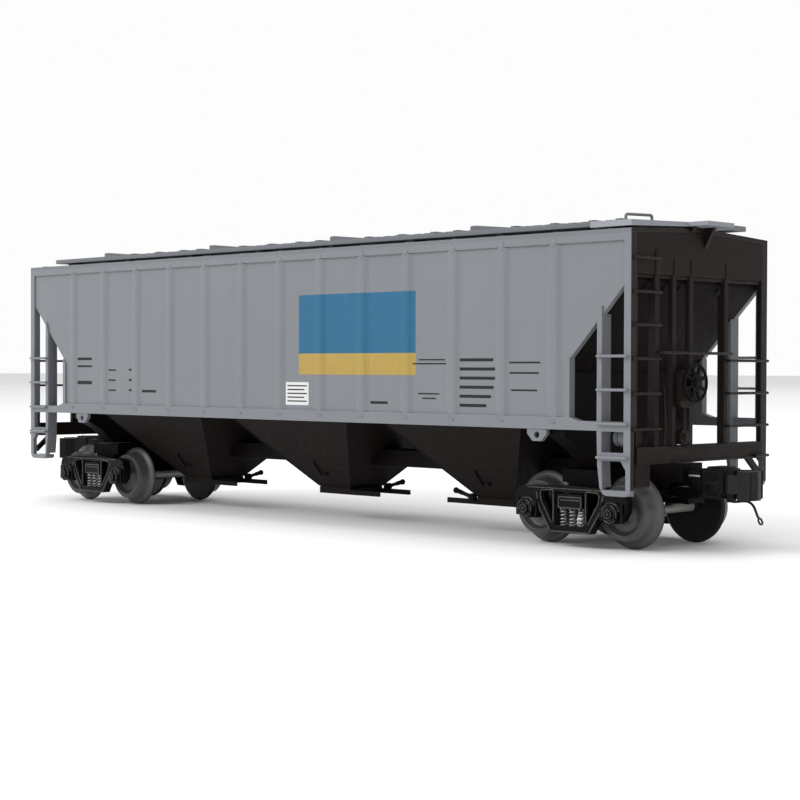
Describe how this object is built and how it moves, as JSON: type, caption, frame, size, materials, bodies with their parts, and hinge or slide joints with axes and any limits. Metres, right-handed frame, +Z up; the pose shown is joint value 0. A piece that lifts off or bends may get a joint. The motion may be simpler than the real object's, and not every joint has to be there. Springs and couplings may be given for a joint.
{
  "type": "model hopper car",
  "caption": "Model covered hopper railway car with ribbed sides, sloped hopper bays with sliding gates, roof hatches, swivelling sprung trucks and working couplers.",
  "frame": {"origin": "centre of the car in plan, at the bottom of the wheel flanges", "axes": "+X along the car towards the end with the brake wheel, +Z up, near ribbed side at -Y"},
  "size_m": [0.3286, 0.0698, 0.096],
  "materials": {
    "body_grey": "satin light grey paint on moulded plastic",
    "end_dark": "satin dark brown-black paint on moulded plastic",
    "under_dark": "satin dark brown-black",
    "truck_black": "satin black over die-cast metal",
    "wheel_metal": "dark turned metal with a brighter tread",
    "spring_steel": "bare wire springs",
    "coupler_black": "blackened die-cast metal",
    "hose_rubber": "moulded black hose",
    "wire_grey": "painted wire",
    "wire_dark": "painted wire",
    "screw_steel": "blackened screw"
  },
  "bodies": {
    "car_body": {"body_bolsters": "under_dark", "brake_housing": "end_dark", "brake_rigging": "end_dark", "centre_sill": "under_dark", "crosswalk_a": "body_grey", "crosswalk_b": "body_grey", "end_frame_a": "end_dark", "end_frame_b": "end_dark", "end_rungs": "wire_dark", "end_sill_a": "end_dark", "end_sill_b": "end_dark", "floor_pan": "end_dark", "grab_irons": "wire_grey", "hopper_bay_1": "end_dark", "hopper_bay_2": "end_dark", "hopper_bay_3": "end_dark", "kingpins": "screw_steel", "outlet_frame_1": "under_dark", "outlet_frame_2": "under_dark", "outlet_frame_3": "under_dark", "platform_brackets": "end_dark", "roof_panel": "body_grey", "roping_eyes": "body_grey", "running_board_left": "body_grey", "running_board_right": "body_grey", "side_panel_left": "body_grey", "side_panel_right": "body_grey", "slope_sheet_a": "end_dark", "slope_sheet_b": "end_dark"},
    "brake_wheel": {"brake_wheel": "under_dark"},
    "hatch_1": {"hatch_cover_1": "body_grey"},
    "hatch_2": {"hatch_cover_2": "body_grey"},
    "hatch_3": {"hatch_cover_3": "body_grey"},
    "hatch_4": {"hatch_cover_4": "body_grey"},
    "gate_1": {"outlet_gate_1": "under_dark"},
    "lever_1": {"gate_lever_1": "under_dark"},
    "gate_2": {"outlet_gate_2": "under_dark"},
    "lever_2": {"gate_lever_2": "under_dark"},
    "gate_3": {"outlet_gate_3": "under_dark"},
    "lever_3": {"gate_lever_3": "under_dark"},
    "truck_b": {"truck_b_bolster": "truck_black", "truck_b_sideframe_left": "truck_black", "truck_b_sideframe_right": "truck_black", "truck_b_bearing_caps": "truck_black", "truck_b_springs": "spring_steel"},
    "wheels_b_outer": {"wheelset_b_outer": "wheel_metal"},
    "wheels_b_inner": {"wheelset_b_inner": "wheel_metal"},
    "coupler_b": {"coupler_b": "coupler_black", "air_hose_b": "hose_rubber"},
    "knuckle_b": {"knuckle_b": "coupler_black"},
    "truck_a": {"truck_a_bolster": "truck_black", "truck_a_sideframe_left": "truck_black", "truck_a_sideframe_right": "truck_black", "truck_a_bearing_caps": "truck_black", "truck_a_springs": "spring_steel"},
    "wheels_a_outer": {"wheelset_a_outer": "wheel_metal"},
    "wheels_a_inner": {"wheelset_a_inner": "wheel_metal"},
    "coupler_a": {"coupler_a": "coupler_black", "air_hose_a": "hose_rubber"},
    "knuckle_a": {"knuckle_a": "coupler_black"}
  },
  "joints": [
    {"name": "truck_b_swivel", "type": "hinge", "parent": "car_body", "child": "truck_b", "pos_m": [0.1164, 0, 0.0175], "axis": [0, 0, 1], "range_deg": [-10, 10]},
    {"name": "wheels_b_outer_roll", "type": "hinge", "parent": "truck_b", "child": "wheels_b_outer", "pos_m": [0.1319, 0, 0.0107], "axis": [0, 1, 0], "continuous": true},
    {"name": "wheels_b_inner_roll", "type": "hinge", "parent": "truck_b", "child": "wheels_b_inner", "pos_m": [0.1009, 0, 0.0107], "axis": [0, 1, 0], "continuous": true},
    {"name": "coupler_b_swing", "type": "hinge", "parent": "truck_b", "child": "coupler_b", "pos_m": [0.1399, 0, 0.014], "axis": [0, 0, 1], "range_deg": [-14, 14]},
    {"name": "knuckle_b_open", "type": "hinge", "parent": "coupler_b", "child": "knuckle_b", "pos_m": [0.157, -0.0034, 0.0195], "axis": [0, 0, 1], "range_deg": [-40, 0]},
    {"name": "truck_a_swivel", "type": "hinge", "parent": "car_body", "child": "truck_a", "pos_m": [-0.1164, 0, 0.0175], "axis": [0, 0, 1], "range_deg": [-10, 10]},
    {"name": "wheels_a_outer_roll", "type": "hinge", "parent": "truck_a", "child": "wheels_a_outer", "pos_m": [-0.1319, 0, 0.0107], "axis": [0, 1, 0], "continuous": true},
    {"name": "wheels_a_inner_roll", "type": "hinge", "parent": "truck_a", "child": "wheels_a_inner", "pos_m": [-0.1009, 0, 0.0107], "axis": [0, 1, 0], "continuous": true},
    {"name": "coupler_a_swing", "type": "hinge", "parent": "truck_a", "child": "coupler_a", "pos_m": [-0.1399, 0, 0.014], "axis": [0, 0, 1], "range_deg": [-24, 4]},
    {"name": "knuckle_a_open", "type": "hinge", "parent": "coupler_a", "child": "knuckle_a", "pos_m": [-0.15733, 0.00038, 0.0195], "axis": [0, 0, 1], "range_deg": [-40, 0]},
    {"name": "brake_wheel_turn", "type": "hinge", "parent": "car_body", "child": "brake_wheel", "pos_m": [0.1483, -0.0085, 0.0476], "axis": [1, 0, 0], "continuous": true},
    {"name": "hatch_1_lift", "type": "hinge", "parent": "car_body", "child": "hatch_1", "pos_m": [-0.096, 0.0123, 0.0942], "axis": [1, 0, 0], "range_deg": [-110, 0]},
    {"name": "hatch_2_lift", "type": "hinge", "parent": "car_body", "child": "hatch_2", "pos_m": [-0.032, 0.0123, 0.0942], "axis": [1, 0, 0], "range_deg": [-110, 0]},
    {"name": "hatch_3_lift", "type": "hinge", "parent": "car_body", "child": "hatch_3", "pos_m": [0.032, 0.0123, 0.0942], "axis": [1, 0, 0], "range_deg": [-110, 0]},
    {"name": "hatch_4_lift", "type": "hinge", "parent": "car_body", "child": "hatch_4", "pos_m": [0.096, 0.0123, 0.0942], "axis": [1, 0, 0], "range_deg": [-110, 0]},
    {"name": "gate_1_slide", "type": "slide", "parent": "car_body", "child": "gate_1", "axis": [1, 0, 0], "range_m": [0, 0.012]},
    {"name": "lever_1_lift", "type": "hinge", "parent": "car_body", "child": "lever_1", "pos_m": [-0.0636, 0.00835, 0.011], "axis": [0, -1, 0], "range_deg": [0, 20]},
    {"name": "gate_2_slide", "type": "slide", "parent": "car_body", "child": "gate_2", "axis": [1, 0, 0], "range_m": [0, 0.012]},
    {"name": "lever_2_lift", "type": "hinge", "parent": "car_body", "child": "lever_2", "pos_m": [0.0099, 0.00835, 0.011], "axis": [0, -1, 0], "range_deg": [0, 20]},
    {"name": "gate_3_slide", "type": "slide", "parent": "car_body", "child": "gate_3", "axis": [-1, 0, 0], "range_m": [0, 0.012]},
    {"name": "lever_3_lift", "type": "hinge", "parent": "car_body", "child": "lever_3", "pos_m": [0.0636, -0.00835, 0.011], "axis": [0, 1, 0], "range_deg": [0, 20]}
  ]
}
